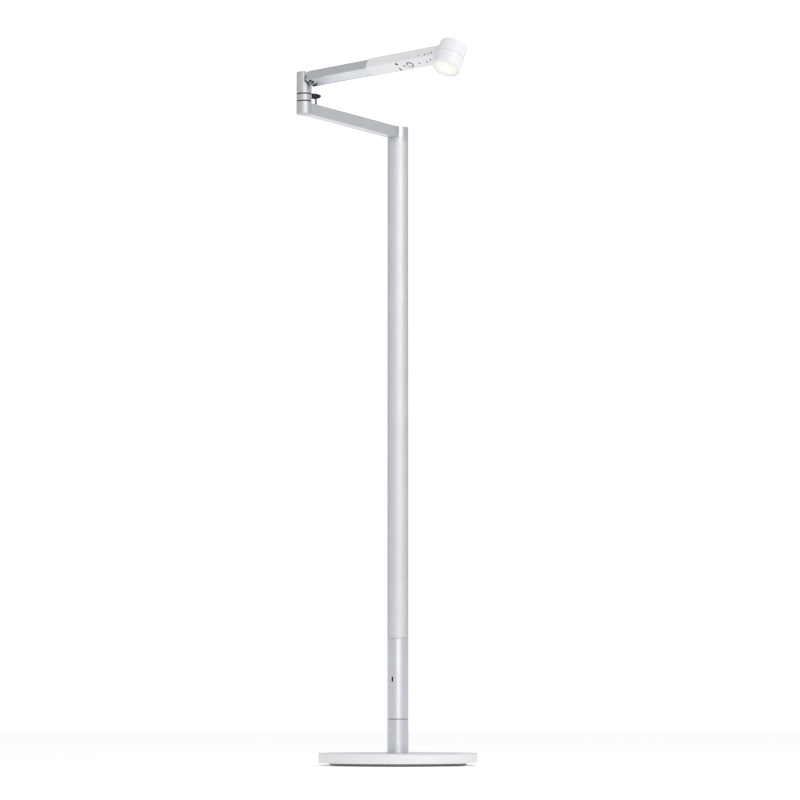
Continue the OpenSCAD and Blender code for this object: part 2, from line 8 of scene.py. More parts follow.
# %% Load the frame
import bpy
import bmesh
import json
import math
import numpy as np
from mathutils import Matrix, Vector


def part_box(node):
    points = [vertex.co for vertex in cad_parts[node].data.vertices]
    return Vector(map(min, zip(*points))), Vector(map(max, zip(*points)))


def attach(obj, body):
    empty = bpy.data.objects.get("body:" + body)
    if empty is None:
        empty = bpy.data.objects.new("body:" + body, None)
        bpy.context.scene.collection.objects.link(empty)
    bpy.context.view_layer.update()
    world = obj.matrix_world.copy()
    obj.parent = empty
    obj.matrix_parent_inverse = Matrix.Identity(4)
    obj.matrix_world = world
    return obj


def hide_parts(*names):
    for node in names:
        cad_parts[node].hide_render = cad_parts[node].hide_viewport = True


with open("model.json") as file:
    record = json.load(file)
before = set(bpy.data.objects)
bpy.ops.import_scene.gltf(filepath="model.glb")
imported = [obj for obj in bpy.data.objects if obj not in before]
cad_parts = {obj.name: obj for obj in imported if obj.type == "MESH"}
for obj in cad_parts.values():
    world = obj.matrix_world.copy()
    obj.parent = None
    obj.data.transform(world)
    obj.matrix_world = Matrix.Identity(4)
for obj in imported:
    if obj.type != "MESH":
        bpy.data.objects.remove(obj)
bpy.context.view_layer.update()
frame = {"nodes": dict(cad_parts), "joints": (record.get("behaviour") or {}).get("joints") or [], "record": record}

# %% [markdown]
# ## The camera
# The lamp is seen from far away and from low down, so that the column stays upright and
# both arms are seen a little from below. A long lens does this. A lens shift could keep
# the column exactly parallel to the frame's edges, but it would push the lamp out of the
# middle in every other view, so the camera is tilted up instead.

# %% Camera
CAMERA_PLACE = (0.0040, -5.7705, 0.1066)
CAMERA_RISE = 5.758  # degrees above level
CAMERA_LENS = 137.57  # mm, on a sensor 36 mm wide

camera_data = bpy.data.cameras.new("camera")
camera_data.lens = CAMERA_LENS
camera_data.sensor_width = 36
camera_data.clip_end = 60
camera = bpy.data.objects.new("camera", camera_data)
camera.location = CAMERA_PLACE
camera.rotation_euler = (math.radians(90 + CAMERA_RISE), 0, 0)
bpy.context.scene.collection.objects.link(camera)
bpy.context.scene.camera = camera
print("camera lens in mm:", camera_data.lens)

# %% [markdown]
# ## Reading the frame
# Nothing here repeats a size by hand. The joints say where the elbow is and how the upper
# arm lies, and each part's own box, read in a frame that lies along its arm, gives the
# lengths and sections that the finer surfaces are drawn to.

# %% Frames that lie along the arms
joints = {joint["name"]: joint for joint in frame["joints"]}


def unit(v):
    """The vector v, scaled to length one."""
    v = np.asarray(v, float)
    return v / np.linalg.norm(v)


class Place:
    """A frame in space: an origin and three unit axes, the columns of `axes`."""

    def __init__(self, origin, x_axis, z_axis):
        self.origin = np.asarray(origin, float)
        x, z = unit(x_axis), unit(z_axis)
        self.axes = np.stack([x, np.cross(z, x), z], axis=1)

    def out(self, points):
        """Points of this frame, moved into the lamp's frame: origin plus axes times point."""
        return self.origin + np.asarray(points, float) @ self.axes.T

    def into(self, points):
        """Points of the lamp's frame, read in this frame: axes transposed times the offset."""
        return (np.asarray(points, float) - self.origin) @ self.axes

    def shifted(self, offset):
        """The same axes with the origin moved by an offset that is read in this frame."""
        return Place(self.out(offset), self.axes[:, 0], self.axes[:, 2])

    def box(self, node):
        """Lowest and highest corner of a node's own vertices, read in this frame."""
        mesh = frame["nodes"][node].data
        co = np.zeros(len(mesh.vertices) * 3, np.float32)
        mesh.vertices.foreach_get("co", co)
        local = self.into(co.reshape(-1, 3))
        return local.min(axis=0), local.max(axis=0)


UP = (0, 0, 1)
elbow_point = np.array(joints["elbow_swivel"]["pos_m"]) * (1, 1, 0)
roll_joint = joints["arm_roll"]
WORLD = Place((0, 0, 0), (1, 0, 0), UP)
LOWER = Place((0, 0, 0), elbow_point, UP)
LOWER_LENGTH = float(np.linalg.norm(elbow_point))
BACK = Place(elbow_point, -elbow_point, UP)
ARM = Place(roll_joint["pos_m"], roll_joint["axis"], joints["button_press"]["axis"])
drum_low, drum_high = ARM.box("head_body")
HEAD_OUT = float(drum_low[0] + drum_high[0]) / 2
HEAD_SEAM = float(drum_high[2])
HEAD = ARM.shifted((HEAD_OUT, 0, HEAD_SEAM))
print("lower arm length:", round(LOWER_LENGTH, 4), " head at:", np.round(HEAD.origin, 4))

# %% [markdown]
# ## Making a mesh from arrays
# Every new surface is worked out as arrays of points, and the arrays go into the mesh in
# one call. A grid of points becomes quads by counting along its rows. The finished mesh is
# welded, its open ends are filled, and its faces are turned outwards in one go, which is
# simpler and safer than keeping count of the winding in every formula.

# %% Mesh helpers
MM = 0.001
pieces = {}


def grid_faces(rows, columns, close_rows=False, close_columns=False):
    """Quads over a grid of rows by columns points, each made of a point, its right-hand
    neighbour, and the two points of the next row. A closed direction wraps round."""
    i = np.arange(rows if close_rows else rows - 1)
    j = np.arange(columns if close_columns else columns - 1)
    i, j = (a.ravel() for a in np.meshgrid(i, j, indexing="ij"))
    k, m = (i + 1) % rows, (j + 1) % columns
    return np.stack([i * columns + j, i * columns + m, k * columns + m, k * columns + j], axis=1)


def joined(shells):
    """Several (points, faces) pairs as one pair, with the face numbers shifted along."""
    starts = np.cumsum([0] + [len(points) for points, _ in shells[:-1]])
    points = np.concatenate([points for points, _ in shells])
    return points, np.concatenate([faces + start for (_, faces), start in zip(shells, starts)])


def mesh_from(name, points, faces):
    """A mesh of quads, written in whole arrays."""
    mesh = bpy.data.meshes.new(name)
    mesh.vertices.add(len(points))
    mesh.vertices.foreach_set("co", np.ascontiguousarray(points, np.float32).ravel())
    mesh.loops.add(faces.size)
    mesh.loops.foreach_set("vertex_index", np.ascontiguousarray(faces, np.int32).ravel())
    mesh.polygons.add(len(faces))
    mesh.polygons.foreach_set("loop_start", np.arange(0, faces.size, 4, dtype=np.int32))
    mesh.update(calc_edges=True)
    return mesh


def settle(mesh, weld):
    """Welds close points, drops faces with no area, fills open ends, turns faces outwards."""
    work = bmesh.new()
    work.from_mesh(mesh)
    bmesh.ops.remove_doubles(work, verts=work.verts, dist=weld)
    bmesh.ops.dissolve_degenerate(work, dist=weld / 4, edges=work.edges)
    bmesh.ops.holes_fill(work, edges=[e for e in work.edges if e.is_boundary], sides=0)
    bmesh.ops.recalc_face_normals(work, faces=work.faces)
    work.to_mesh(mesh)
    work.free()


def add_piece(name, shells, finish, body, replaces=(), sharp=38, weld=0.01 * MM, even=True):
    """One object from shells of quads: its mesh is settled and shaded smooth up to an angle,
    and it gets its finish, its slot, the nodes that it stands for, and the body it rides on."""
    mesh = mesh_from(name, *joined(shells))
    settle(mesh, weld)
    return finish_piece(name, mesh, finish, body, replaces, sharp, even)


def finish_piece(name, mesh, finish, body, replaces, sharp=38, even=True):
    """The last steps that every piece shares."""
    mesh.shade_smooth()
    mesh.set_sharp_from_angle(angle=math.radians(sharp))
    mesh.materials.clear()
    mesh.materials.append(finish)
    piece = bpy.data.objects.new(name, mesh)
    bpy.context.scene.collection.objects.link(piece)
    if even:
        weighted = piece.modifiers.new("even shading", "WEIGHTED_NORMAL")
        weighted.keep_sharp = True
    if replaces:
        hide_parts(*replaces)
    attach(piece, body)
    pieces[name] = piece
    print(f"{name}: {len(mesh.polygons)} faces")
    return piece


# %% [markdown]
# ## Soft corners
# No real edge is perfectly sharp: a turned or moulded edge has a small radius that catches
# a line of light. Each outline is drawn with only the corners that its shape needs, and
# every corner is then replaced by a short arc.

# %% Outlines with rounded corners
def rounded(corners, radius, steps=4):
    """A closed outline with every corner replaced by an arc. The arc starts and ends on the
    two sides, at most 0.45 of a side away, and follows (1-t)^2 a + 2t(1-t) p + t^2 b."""
    p = np.asarray(corners, float)
    radius = np.broadcast_to(np.asarray(radius, float), len(p))[:, None]
    before, after = np.roll(p, 1, axis=0) - p, np.roll(p, -1, axis=0) - p
    length_before = np.linalg.norm(before, axis=1, keepdims=True)
    length_after = np.linalg.norm(after, axis=1, keepdims=True)
    a = p + before / length_before * np.minimum(radius, 0.45 * length_before)
    b = p + after / length_after * np.minimum(radius, 0.45 * length_after)
    t = np.linspace(0, 1, steps + 1)[None, :, None]
    arc = (1 - t) ** 2 * a[:, None] + 2 * t * (1 - t) * p[:, None] + t**2 * b[:, None]
    return arc.reshape(-1, 2)


def inset(outline, distance):
    """The outline moved inwards along the mean normal of the two sides at each point."""
    side = np.roll(outline, -1, axis=0) - outline
    side /= np.maximum(np.linalg.norm(side, axis=1, keepdims=True), 1e-12)
    normal = np.stack([-side[:, 1], side[:, 0]], axis=1)
    mean = normal + np.roll(normal, 1, axis=0)
    mean /= np.maximum(np.linalg.norm(mean, axis=1, keepdims=True), 1e-12)
    return outline + mean * distance


# %% [markdown]
# ## Turned parts, prisms, bars and tubes
# Four kinds of body make up nearly all of the lamp. A turned part is a closed profile
# carried round an axis. A prism is an outline carried along its height, drawn in a little
# at each end so that the end edges are soft. A bar is a section carried along an arm, and
# its end may be hollowed to sit against a round hub. A tube follows a path in a plane.

# %% Four kinds of body
def turned(profile, place=WORLD, steps=96):
    """A closed profile of (radius, height) carried round the z axis: the point at angle a
    is (r cos a, r sin a, z)."""
    profile = np.asarray(profile, float)
    a = np.arange(steps) * 2 * math.pi / steps
    r, z = profile[None, :, 0], profile[None, :, 1]
    x, y = r * np.cos(a)[:, None], r * np.sin(a)[:, None]
    points = np.stack([x, y, np.broadcast_to(z, x.shape)], axis=-1)
    return place.out(points.reshape(-1, 3)), grid_faces(steps, len(profile), True, True)


def ring(r_in, r_out, z0, z1, edge=0.3 * MM, place=WORLD, steps=96):
    """A turned ring with a rectangular section and soft edges."""
    corners = [(r_in, z0), (r_out, z0), (r_out, z1), (r_in, z1)]
    return turned(rounded(corners, edge, 3), place, steps)


def prism(outline, z0, z1, edge, place=WORLD, steps=4):
    """An outline carried from z0 to z1 with softened end edges: near each end it is inset
    by edge times (1 - sin t) while the height changes by edge times (1 - cos t)."""
    t = np.linspace(0, math.pi / 2, steps + 1)
    draw, rise = edge * (1 - np.sin(t)), edge * (1 - np.cos(t))
    flat = np.full(len(outline), 1.0)
    low = [np.column_stack([inset(outline, d), flat * (z0 + h)]) for d, h in zip(draw, rise)]
    high = [np.column_stack([inset(outline, d), flat * (z1 - h)]) for d, h in zip(draw, rise)]
    rings = np.array(low + high[::-1])
    return place.out(rings.reshape(-1, 3)), grid_faces(len(rings), len(outline), False, True)


def straight_end(x):
    """An end plane: the same x wherever the section is."""
    return lambda y: np.full_like(y, x)


def hub_end(centre, radius):
    """An end hollowed by an upright cylinder: x is the centre less the root of r^2 - y^2."""
    return lambda y: centre - np.sqrt(np.maximum(radius**2 - y**2, 0))


def bar(section, start, end, edge, place):
    """A section of (y, z) carried along x from one end surface to another, and inset by
    edge at each end, so that the end edges are soft."""
    t = np.linspace(0, math.pi / 2, 4)
    draw, rise = edge * (1 - np.sin(t)), edge * (1 - np.cos(t))
    near, far = [], []
    for d, h in zip(draw, rise):
        shape = inset(section, d)
        near.append(np.column_stack([start(shape[:, 0]) + h, shape]))
        far.append(np.column_stack([end(shape[:, 0]) - h, shape]))
    k = np.array([1 / 3, 2 / 3])[:, None, None]
    between = list(near[-1] + (far[-1] - near[-1]) * k)
    rings = np.array(near + between + far[::-1])
    return place.out(rings.reshape(-1, 3)), grid_faces(len(rings), len(section), False, True)


def tube(path, radius, side, steps=20):
    """A round tube along a path in a plane: each ring is the path's point plus radius times
    (cos a times the plane's normal plus sin a times the tangent cross that normal)."""
    path, side = np.asarray(path, float), unit(side)
    tangent = np.gradient(path, axis=0)
    tangent /= np.linalg.norm(tangent, axis=1, keepdims=True)
    other = np.cross(tangent, side)
    a = np.arange(steps) * 2 * math.pi / steps
    across, along = np.cos(a)[None, :, None] * side, np.sin(a)[None, :, None] * other[:, None]
    rings = path[:, None] + radius * (across + along)
    return rings.reshape(-1, 3), grid_faces(len(path), steps, False, True)


def channel(width, height, wall, roof, radius):
    """A section open at the bottom: round upper corners, two legs and a roof."""
    w, h = width / 2, height / 2
    i = w - wall
    top = h - roof
    corners = [(-w, -h), (-i, -h), (-i, top), (i, top), (i, -h), (w, -h), (w, h), (-w, h)]
    leg, inner, corner = 0.3 * MM, 0.2 * MM, 0.4 * MM
    return rounded(corners, [leg, inner, corner, corner, inner, leg, radius, radius], 5)


def slab(width, z0, z1, edge):
    """A flat section of (y, z) about the middle line, with soft corners."""
    w = width / 2
    return rounded([(-w, z0), (w, z0), (w, z1), (-w, z1)], edge, 3)


# %% [markdown]
# ## Softened copies of the mechanism
# Parts with pockets, bores and cross holes already have the right shape in the mechanism.
# A copy of such a part is merged, its flat faces are made whole again, and a small bevel
# is put on its sharp edges. The part itself is never touched.

# %% Softened copies
MERGE = 0.002 * MM
FLAT_ANGLE = math.radians(0.6)
BEVEL_ANGLE = math.radians(35)
bodies = frame["record"]["behaviour"]["bodies"]


def softened(node, width, finish, sharp=32):
    """A merged copy of a part, with every edge sharper than 35 degrees bevelled."""
    mesh = frame["nodes"][node].data.copy()
    mesh.name = node + "_soft"
    work = bmesh.new()
    work.from_mesh(mesh)
    bmesh.ops.remove_doubles(work, verts=work.verts, dist=MERGE)
    bmesh.ops.dissolve_limit(work, angle_limit=FLAT_ANGLE, verts=work.verts, edges=work.edges)
    work.to_mesh(mesh)
    work.free()
    body = next(name for name, members in bodies.items() if node in members)
    piece = finish_piece(node + "_soft", mesh, finish, body, (node,), sharp, even=False)
    bevel = piece.modifiers.new("soft edges", "BEVEL")
    bevel.width = width
    bevel.segments = 2
    bevel.limit_method = "ANGLE"
    bevel.angle_limit = BEVEL_ANGLE
    bevel.harden_normals = True
    return piece

# %% [markdown]
# ## Finishes
# Each finish is one material. The colour, the roughness and the fine relief come from
# noise in object space, at the real grain of the finish, so they hold still when a part
# moves. Whatever is the same all over is set straight on the shader.

# %% A maker of finishes
DRIFT = 0.03  # how far a finish's roughness wanders to either side


def shader(name, **settings):
    """A material with its shader's constant values set, and its object-space coordinates."""
    material = bpy.data.materials.new(name)
    material.use_nodes = True
    tree = material.node_tree
    surface = tree.nodes["Principled BSDF"]
    for socket, value in settings.items():
        surface.inputs[socket.replace("_", " ")].default_value = value
    place = tree.nodes.new("ShaderNodeTexCoord")
    return material, tree, surface, place.outputs["Object"]


def noise(tree, coordinates, scale, detail=2.0, roughness=0.5, stretch=None):
    """Noise at so many waves a metre, drawn out along an axis if a stretch is given."""
    if stretch:
        mapping = tree.nodes.new("ShaderNodeMapping")
        mapping.inputs["Scale"].default_value = stretch
        tree.links.new(coordinates, mapping.inputs["Vector"])
        coordinates = mapping.outputs["Vector"]
    node = tree.nodes.new("ShaderNodeTexNoise")
    node.inputs["Scale"].default_value = scale
    node.inputs["Detail"].default_value = detail
    node.inputs["Roughness"].default_value = roughness
    tree.links.new(coordinates, node.inputs["Vector"])
    return node.outputs["Fac"]


def ramp(tree, factor, stops):
    """A colour ramp with its stops given as (position, colour)."""
    node = tree.nodes.new("ShaderNodeValToRGB")
    elements = node.color_ramp.elements
    while len(elements) < len(stops):
        elements.new(0.5)
    for element, (position, colour) in zip(elements, stops):
        element.position = position
        element.color = colour if len(colour) == 4 else (*colour, 1)
    tree.links.new(factor, node.inputs["Fac"])
    return node.outputs["Color"]


def span(tree, factor, low, high):
    """A factor near one half, mapped from 0.3..0.7 to low..high."""
    node = tree.nodes.new("ShaderNodeMapRange")
    for socket, value in zip(("From Min", "From Max", "To Min", "To Max"), (0.3, 0.7, low, high)):
        node.inputs[socket].default_value = value
    tree.links.new(factor, node.inputs["Value"])
    return node.outputs["Result"]


def relief(tree, surface, height, depth, strength=0.6):
    """Fine relief from a height, with its depth in metres."""
    node = tree.nodes.new("ShaderNodeBump")
    node.inputs["Strength"].default_value = strength
    node.inputs["Distance"].default_value = depth
    tree.links.new(height, node.inputs["Height"])
    tree.links.new(node.outputs["Normal"], surface.inputs["Normal"])


def finish(name, dark, light, roughness, grain, depth, patch=18, stretch=None, **settings):
    """A finish with two close tones in soft patches, a roughness that drifts a little,
    and a fine grain in relief."""
    material, tree, surface, coordinates = shader(name, **settings)
    tones = ramp(tree, noise(tree, coordinates, patch, 3), [(0.3, dark), (0.7, light)])
    tree.links.new(tones, surface.inputs["Base Color"])
    drift = span(tree, noise(tree, coordinates, patch * 7, 2), roughness - DRIFT, roughness + DRIFT)
    tree.links.new(drift, surface.inputs["Roughness"])
    relief(tree, surface, noise(tree, coordinates, grain, 2, 0.6, stretch), depth)
    return material


def grey(value, tint=(1, 1, 1)):
    """A grey of one brightness, with a slight tint."""
    return tuple(value * t for t in tint)


COOL = (0.965, 0.99, 1.035)
CLEAN = (0.975, 0.985, 1.01)


# %% [markdown]
# ### Metal
# The tubes, the arms and the elbow are aluminium, blasted to an even satin and anodised.
# The blasting leaves grains of about half a millimetre that spread each reflection. The
# round bodies of the hub and the elbow are cast, with a slightly duller skin. The
# screen of the column is the same metal, pierced by a laser, and a touch rougher. The
# hidden shafts are bright turned steel, with fine rings from the lathe.

# %% Metals
satin_silver = finish("satin_silver", grey(0.60, COOL), grey(0.64, COOL), 0.30, 2200, 0.006 * MM,
                      Metallic=1.0)
elbow_silver = finish("elbow_silver", grey(0.54, COOL), grey(0.58, COOL), 0.42, 2200, 0.006 * MM,
                      Metallic=1.0)
screen_silver = finish("screen_silver", grey(0.57, COOL), grey(0.61, COOL), 0.50, 2600, 0.006 * MM,
                       Metallic=1.0)
# The undersides get a lighter, less metallic copy of the satin silver: painted light, for the brightness that the
# white floor throws up under the arms.
underside_grey = finish("underside_grey", grey(0.74, COOL), grey(0.78, COOL), 0.40, 1800,
                        0.006 * MM, Metallic=0.85)
plate_grey = finish("plate_grey", grey(0.33), grey(0.38), 0.45, 900, 0.04 * MM, Metallic=0.6)
iron = finish("iron", (0.09, 0.085, 0.08), (0.15, 0.14, 0.13), 0.7, 500, 0.15 * MM, patch=60,
              Metallic=0.5)
steel = finish("steel", grey(0.50), grey(0.60), 0.24, 260, 0.01 * MM, stretch=(1, 1, 24),
               Metallic=1.0, Anisotropic=0.4)
copper = finish("copper", (0.62, 0.30, 0.17), (0.76, 0.42, 0.27), 0.32, 700, 0.015 * MM, patch=90,
                Metallic=1.0)
print("metals:", satin_silver.name, elbow_silver.name, screen_silver.name, underside_grey.name,
      steel.name)

# %% [markdown]
# ### Paint and plastic
# The base, the front of the arm and the drum are painted or moulded white with a soft
# eggshell skin, which is a very fine, shallow orange peel. The elbow's small parts are
# black mouldings. The column holds a milky tube, and its faint glow is painted light.

# %% Paints and plastics
base_white = finish("base_white", grey(0.78, CLEAN), grey(0.81, CLEAN), 0.42, 700, 0.03 * MM,
                    Coat_Weight=0.15, Coat_Roughness=0.35)
arm_white = finish("arm_white", grey(0.77, CLEAN), grey(0.80, CLEAN), 0.40, 1100, 0.012 * MM,
                   Coat_Weight=0.12, Coat_Roughness=0.3)
head_white = finish("head_white", grey(0.78, CLEAN), grey(0.81, CLEAN), 0.38, 1100, 0.012 * MM,
                    Coat_Weight=0.15, Coat_Roughness=0.3)
seal_black = finish("seal_black", grey(0.008), grey(0.014), 0.5, 1500, 0.03 * MM, patch=120,
                    Specular_IOR_Level=0.25)
socket_black = finish("socket_black", grey(0.015), grey(0.03), 0.35, 900, 0.01 * MM, patch=200)
foot_rubber = finish("foot_rubber", grey(0.045), grey(0.065), 0.75, 800, 0.1 * MM, patch=90)
bush_ivory = finish("bush_ivory", (0.72, 0.68, 0.58), (0.80, 0.76, 0.66), 0.35, 600, 0.01 * MM,
                    patch=100)
cable_grey = finish("cable_grey", grey(0.20), grey(0.25), 0.55, 1400, 0.03 * MM, patch=150)
reflector_white = finish("reflector_white", grey(0.84), grey(0.88), 0.5, 500, 0.01 * MM, patch=90)
bezel_grey = finish("bezel_grey", grey(0.12), grey(0.16), 0.35, 1500, 0.015 * MM, patch=120,
                    Metallic=0.5)
board_green = finish("board_green", (0.02, 0.10, 0.05), (0.03, 0.15, 0.07), 0.4, 900, 0.02 * MM,
                     patch=300)
print("paints and plastics:", base_white.name, arm_white.name, seal_black.name)

# %% [markdown]
# ### Lit parts
# The lens is a frosted disc with a fine pattern of prisms on its inside, and it glows a
# warm white. The milky pipe in the column is given a faint painted glow, though no lamp
# lights it. The light is a little stronger in the middle of the lens, above the diodes,
# so the glow follows the lens's own shape.

# %% Lens, milky pipe and diodes
def lit(name, colour, middle, rim, glow, prisms, depth, reach, centre):
    """A glowing finish: its glow changes from one colour to another away from a centre."""
    material, tree, surface, coordinates = shader(name, Roughness=0.45, Emission_Strength=glow)
    tones = ramp(tree, noise(tree, coordinates, 60, 2),
                 [(0.3, grey(colour * 0.96)), (0.7, grey(colour))])
    tree.links.new(tones, surface.inputs["Base Color"])
    mapping = tree.nodes.new("ShaderNodeMapping")
    mapping.inputs["Location"].default_value = tuple(-c / reach for c in centre)
    mapping.inputs["Scale"].default_value = (1 / reach,) * 3
    tree.links.new(coordinates, mapping.inputs["Vector"])
    ball = tree.nodes.new("ShaderNodeTexGradient")
    ball.gradient_type = "SPHERICAL"
    tree.links.new(mapping.outputs["Vector"], ball.inputs["Vector"])
    glow_tones = ramp(tree, ball.outputs["Fac"], [(0.0, rim), (0.75, middle)])
    tree.links.new(glow_tones, surface.inputs["Emission Color"])
    cells = tree.nodes.new("ShaderNodeTexVoronoi")
    cells.inputs["Scale"].default_value = prisms
    tree.links.new(coordinates, cells.inputs["Vector"])
    relief(tree, surface, cells.outputs["Distance"], depth, 0.4)
    return material


lens_warm = lit("lens_warm", 0.5, middle=(0.96, 0.95, 0.86), rim=(0.84, 0.72, 0.40), glow=0.48,
                prisms=900, depth=0.15 * MM, reach=28 * MM, centre=HEAD.out((0, 0, -23 * MM)))
# The pipe's glow is painted light: it brightens the holes of the screen, and no lamp lies inside the column.
pipe_milk = lit("pipe_milk", 0.82, middle=(1.0, 0.995, 0.975), rim=(0.97, 0.965, 0.95), glow=0.26,
                prisms=300, depth=0.01 * MM, reach=3.0, centre=(0, 0, 0.7))
led_yellow = lit("led_yellow", 0.7, middle=(1.0, 0.86, 0.45), rim=(0.9, 0.7, 0.3), glow=1.5,
                 prisms=2000, depth=0.02 * MM, reach=90 * MM, centre=HEAD.out((0, 0, 0)))
print("lit parts:", lens_warm.name, pipe_milk.name, led_yellow.name)

# %% [markdown]
# ## Every part of the mechanism gets its finish
# Most inner parts already have their true shape and keep it. Their record names a
# material slot for each one, so the finishes can be given out from that list.

# %% Finishes for the mechanism
finishes = {
    "foot_rubber": foot_rubber, "plate_grey": plate_grey, "iron": iron, "base_white": base_white,
    "steel": steel, "socket_black": socket_black, "board_green": board_green,
    "bush_ivory": bush_ivory, "seal_black": seal_black, "satin_silver": satin_silver,
    "screen_silver": screen_silver, "pipe_milk": pipe_milk, "cable_grey": cable_grey,
    "underside_grey": underside_grey,
    "arm_white": arm_white, "head_white": head_white, "copper": copper, "led_yellow": led_yellow,
    "lens_warm": lens_warm, "reflector_white": reflector_white, "bezel_grey": bezel_grey,
}
slot_of = {part["node"]: part["material_slot"] for part in frame["record"]["subparts"]}
for name, part in frame["nodes"].items():
    for place in part.material_slots:
        place.material = finishes[slot_of[name]]
print("parts given a finish:", len(slot_of))

# %% [markdown]
# ## The base
# A cast weight under a thin white cover, on a grey plate and a rubber pad. The cover has
# a small round edge and meets the plate in a shadow gap. The parts have screw holes and a
# hole for the power inlet, so softened copies of the mechanism's own parts are used, and
# only the rubber pad, which has moulded grooves, is turned anew.

# %% Base
softened("base_cover", 0.4 * MM, base_white)
softened("base_plate", 0.4 * MM, plate_grey)
softened("power_inlet", 0.25 * MM, socket_black)
softened("base_collar", 0.5 * MM, satin_silver)
softened("base_screws", 0.25 * MM, steel)
softened("swivel_washer", 0.2 * MM, seal_black)

pad_r, _, pad_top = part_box("foot_pad")[1]
PAD_EDGE = 0.4 * MM
GROOVE = np.array([(1.6, 0), (0.9, 0.6), (-0.9, 0.6), (-1.6, 0)]) * MM
groove_radii = np.linspace(pad_r - 8 * MM, pad_r - 44 * MM, 7)
grooves = [(r + across, up) for r in groove_radii for across, up in GROOVE]
pad_side = [(0, pad_top), (pad_r, pad_top), (pad_r, PAD_EDGE), (pad_r - PAD_EDGE, 0)]
pad_profile = pad_side + grooves + [(0, 0)]
add_piece("foot_pad_grooved", [turned(pad_profile)], foot_rubber, "base",
          ["foot_pad"])

# %% [markdown]
# ## The column's plain tube and its socket
# The plain tube turns on a low collar that is part of the base, with a thin dark washer
# in the gap. The charging socket is a slot with round ends, cut through the wall.

# %% Plain tube and socket
softened("lower_tube", 0.3 * MM, satin_silver)
softened("usb_socket", 0.12 * MM, socket_black)

# %% [markdown]
# ## The perforated screen
# Most of the column is a thin tube with thousands of small holes. They can't be painted
# on, because light passes through them and their rims break up every reflection. One hole
# takes a cell like a brick: eight points round its border, eight round the hole. Rows of
# bricks are staggered by half a cell, so neighbours share their border points, and one
# array formula places every cell at once. The wall is thinned behind the holes, and a milky
# sleeve lies in the pocket, so it is seen through them from the side too. The wall keeps
# its full thickness in a plain band at each end. The tube is cut into five lengths, which
# keeps each mesh light.

# %% Perforated tube
screen_low, screen_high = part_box("perforated_tube")
screen_r = screen_high.x
TUBE_WALL, SHEET = 1.5 * MM, 0.45 * MM
screen_in, sheet_in = screen_r - TUBE_WALL, screen_r - SHEET
SLEEVE_GAP = 0.1 * MM
HOLES_ROUND = 44
HOLE_SIDES = 8
HOLE_R = 0.86 * MM
ROW_PITCH = 2.525 * MM
BAND_LOW, BAND_HIGH = 4 * MM, 7.5 * MM
rows_total = int((screen_high.z - BAND_HIGH - screen_low.z - BAND_LOW) / ROW_PITCH)
first_row_z = screen_low.z + BAND_LOW


def wrap(across, z, radius):
    """A flat pattern rolled round the column: the distance across, measured on the outside,
    becomes the angle across / outer radius."""
    angle = across / screen_r
    return np.stack([radius * np.cos(angle), radius * np.sin(angle), z], axis=-1)


def hole_cells(first, count):
    """All the brick cells of some rows. The border of a cell is the corners and middles of
    a rectangle, and its hole is eight points on a circle; each is joined to the next by quads
    on the outside, through the wall, and on the inside."""
    width = 2 * math.pi * screen_r / HOLES_ROUND
    rows, columns = np.arange(first, first + count), np.arange(HOLES_ROUND)
    row, column = (a.ravel() for a in np.meshgrid(rows, columns, indexing="ij"))
    cx = (column + 0.5 * (row % 2)) * width
    cz = first_row_z + (row + 0.5) * ROW_PITCH
    angle = np.arange(HOLE_SIDES) * 2 * math.pi / HOLE_SIDES
    unit_x, unit_z = np.sign(np.round(np.cos(angle), 6)), np.sign(np.round(np.sin(angle), 6))
    border = cx[:, None] + unit_x * width / 2, cz[:, None] + unit_z * ROW_PITCH / 2
    hole = cx[:, None] + HOLE_R * np.cos(angle), cz[:, None] + HOLE_R * np.sin(angle)
    rings = [wrap(*border, screen_r), wrap(*hole, screen_r),
             wrap(*hole, sheet_in), wrap(*border, sheet_in)]
    points = np.stack(rings, axis=1).reshape(-1, 3)
    one = grid_faces(len(rings), HOLE_SIDES, False, True)
    faces = one[None] + len(rings) * HOLE_SIDES * np.arange(len(cx))[:, None, None]
    return points, faces.reshape(-1, 4)


def end_band(profile):
    """The plain band or the cut face at the end of a length, on the same angles as the holes."""
    profile = np.asarray(profile, float)
    across = np.arange(2 * HOLES_ROUND) * math.pi * screen_r / HOLES_ROUND
    rings = [wrap(across, np.full_like(across, z), r) for r, z in profile]
    return np.concatenate(rings), grid_faces(len(profile), len(across), False, True)


def tube_end(row_z, end_z, edge):
    """The plain band between the last row and the end, with a thick wall and a soft edge."""
    return [(sheet_in, row_z), (screen_in, row_z), (screen_in, end_z),
            (screen_r - abs(edge), end_z), (screen_r, end_z - edge), (screen_r, row_z)]


def tube_cut(row):
    """The flat cut between two lengths, just below a row."""
    z = first_row_z + row * ROW_PITCH
    return [(sheet_in, z), (screen_r, z)]


LENGTHS = 5
cuts = [round(rows_total * k / LENGTHS) for k in range(LENGTHS + 1)]
TUBE_EDGE = 0.25 * MM
last_z = first_row_z + rows_total * ROW_PITCH
ends = {0: tube_end(first_row_z, screen_low.z, -TUBE_EDGE),
        LENGTHS: tube_end(last_z, screen_high.z, TUBE_EDGE)}
for k, (a, b) in enumerate(zip(cuts[:-1], cuts[1:])):
    bands = [end_band(ends.get(i) or tube_cut(row)) for i, row in ((k, a), (k + 1, b))]
    stands_for = ["perforated_tube"] if k == 0 else []
    add_piece(f"screen_length_{k + 1}", [hole_cells(a, b - a)] + bands, screen_silver,
              "column", stands_for, sharp=30, weld=0.02 * MM, even=False)
# The sleeve carries the pipe's painted glow, which is what the holes show.
sleeve = ring(screen_in, sheet_in - SLEEVE_GAP, first_row_z, last_z)
add_piece("milky_sleeve_painted_glow", [sleeve], pipe_milk, "column")
print("holes in the screen:", rows_total * HOLES_ROUND)

# %% [markdown]
# ## The hub on the column and the lower arm
# The arm leaves the column from a round hub that has a flat where the arm begins. The arm
# is a channel with soft upper edges, closed from below by a separate flat strip, and its
# far end is hollowed to sit against the round foot of the elbow.

